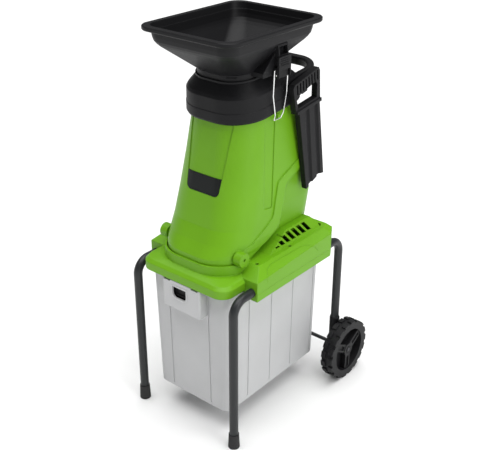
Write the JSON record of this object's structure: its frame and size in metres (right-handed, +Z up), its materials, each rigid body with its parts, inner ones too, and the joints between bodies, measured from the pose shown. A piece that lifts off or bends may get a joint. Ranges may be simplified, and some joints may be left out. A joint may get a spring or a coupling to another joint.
{
  "type": "electric garden shredder",
  "caption": "Electric garden shredder: leaning funnel housing with clipped-on hopper, pusher, motor and knife disc over a slide-out chip bin on a tubular frame with wheels.",
  "frame": {"origin": "on the floor, under the centre of the bounding box", "axes": "+Z up; -Y is the front, where the bin slides out; +X is the side that carries the pusher"},
  "size_m": [0.4152, 0.5249, 1],
  "materials": {
    "green_shell": "satin lime green moulded plastic",
    "black_plastic": "fine-grained charcoal black plastic",
    "bin_grey": "satin light grey plastic",
    "tube_paint": "satin dark grey paint on steel tube",
    "foot_rubber": "matt black rubber",
    "wheel_black": "matt black plastic",
    "zinc_steel": "zinc-plated steel",
    "bright_wire": "bright plated spring wire",
    "plate_steel": "plain steel plate",
    "knife_steel": "ground hardened steel",
    "screw_steel": "blackened steel",
    "motor_steel": "varnished laminations",
    "cast_aluminium": "cast",
    "badge_dark": "smooth dark plate with no lettering",
    "button_green": "smooth",
    "button_red": "smooth"
  },
  "bodies": {
    "frame": {"front_leg_left": "tube_paint", "front_leg_right": "tube_paint", "rear_leg_left": "tube_paint", "rear_leg_right": "tube_paint", "foot_left": "foot_rubber", "foot_right": "foot_rubber", "axle_sleeve_left": "black_plastic", "axle_sleeve_right": "black_plastic", "wheel_axle": "tube_paint", "axle_washers": "zinc_steel", "axle_caps": "black_plastic", "lower_shell": "green_shell", "base_cover": "green_shell", "motor_cover": "green_shell", "motor_stator": "motor_steel", "motor_front_bracket": "cast_aluminium", "motor_rear_bracket": "cast_aluminium", "bearing_front": "knife_steel", "bearing_rear": "knife_steel", "bulkhead": "plate_steel", "discharge_duct": "black_plastic", "interlock_switch": "black_plastic", "switch_box": "black_plastic", "mains_inlet": "black_plastic", "hinge_pins": "zinc_steel", "cover_screws": "screw_steel"},
    "upper_housing": {"upper_housing": "green_shell", "front_badge": "badge_dark", "collar": "black_plastic", "hopper": "black_plastic", "carry_handle": "black_plastic", "latch_pins": "zinc_steel", "feed_funnel": "black_plastic"},
    "locking_knob": {"locking_knob": "black_plastic"},
    "latch_lever_right": {"latch_lever_right": "black_plastic"},
    "latch_wire_right": {"latch_wire_right": "bright_wire"},
    "latch_lever_left": {"latch_lever_left": "black_plastic"},
    "latch_wire_left": {"latch_wire_left": "bright_wire"},
    "pusher": {"pusher": "black_plastic"},
    "bin": {"collecting_bin": "bin_grey", "bin_lock_housing": "bin_grey"},
    "bin_lock_slider": {"bin_lock_slider": "black_plastic"},
    "rotor": {"knife_disc": "plate_steel", "knives": "knife_steel", "knife_screws": "screw_steel", "disc_nut": "screw_steel", "motor_shaft": "knife_steel", "rotor_core": "motor_steel", "cooling_fan": "black_plastic"},
    "wheel_left": {"wheel_left": "wheel_black"},
    "wheel_right": {"wheel_right": "wheel_black"},
    "start_button": {"start_button": "button_green"},
    "stop_button": {"stop_button": "button_red"},
    "reset_button": {"reset_button": "black_plastic"}
  },
  "joints": [
    {"name": "housing_hinge", "type": "hinge", "parent": "frame", "child": "upper_housing", "pos_m": [0, -0.1745, 0.4845], "axis": [1, 0, 0], "range_deg": [0, 40]},
    {"name": "knob_turn", "type": "hinge", "parent": "upper_housing", "child": "locking_knob", "pos_m": [0, 0.104, 0.679], "axis": [0, -0.5446, 0.8387], "continuous": true},
    {"name": "pusher_pull", "type": "slide", "parent": "upper_housing", "child": "pusher", "axis": [1, 0, 0], "range_m": [0, 0.12]},
    {"name": "bin_slide", "type": "slide", "parent": "frame", "child": "bin", "axis": [0, -1, 0], "range_m": [0, 0.34]},
    {"name": "bin_lock_slide", "type": "slide", "parent": "bin", "child": "bin_lock_slider", "axis": [0, 0, 1], "range_m": [0, 0.008]},
    {"name": "rotor_spin", "type": "hinge", "parent": "frame", "child": "rotor", "pos_m": [0, -0.024, 0.556], "axis": [0, 0.9613, -0.2756], "continuous": true},
    {"name": "wheel_spin_left", "type": "hinge", "parent": "frame", "child": "wheel_left", "pos_m": [-0.19, 0.1785, 0.084], "axis": [1, 0, 0], "continuous": true},
    {"name": "wheel_spin_right", "type": "hinge", "parent": "frame", "child": "wheel_right", "pos_m": [0.19, 0.1785, 0.084], "axis": [1, 0, 0], "continuous": true},
    {"name": "latch_open_right", "type": "hinge", "parent": "upper_housing", "child": "latch_lever_right", "pos_m": [0.118, -0.033, 0.894], "axis": [0, 1, 0], "range_deg": [0, 110]},
    {"name": "latch_wire_swing_right", "type": "hinge", "parent": "latch_lever_right", "child": "latch_wire_right", "pos_m": [0.115, -0.033, 0.905], "axis": [0, 1, 0], "range_deg": [-132, 0]},
    {"name": "latch_open_left", "type": "hinge", "parent": "upper_housing", "child": "latch_lever_left", "pos_m": [-0.118, -0.033, 0.894], "axis": [0, -1, 0], "range_deg": [0, 110]},
    {"name": "latch_wire_swing_left", "type": "hinge", "parent": "latch_lever_left", "child": "latch_wire_left", "pos_m": [-0.115, -0.033, 0.905], "axis": [0, -1, 0], "range_deg": [-132, 0]},
    {"name": "start_press", "type": "slide", "parent": "frame", "child": "start_button", "axis": [0, -1, 0], "range_m": [0, 0.002], "stiffness_N_per_m": 250},
    {"name": "stop_press", "type": "slide", "parent": "frame", "child": "stop_button", "axis": [0, -1, 0], "range_m": [0, 0.003], "stiffness_N_per_m": 250},
    {"name": "reset_press", "type": "slide", "parent": "frame", "child": "reset_button", "axis": [0, -1, 0], "range_m": [0, 0.002], "stiffness_N_per_m": 250}
  ],
  "couplings": [
    {"joint": "latch_wire_swing_right", "follows": "latch_open_right", "ratio": -1.2},
    {"joint": "latch_wire_swing_left", "follows": "latch_open_left", "ratio": -1.2}
  ]
}
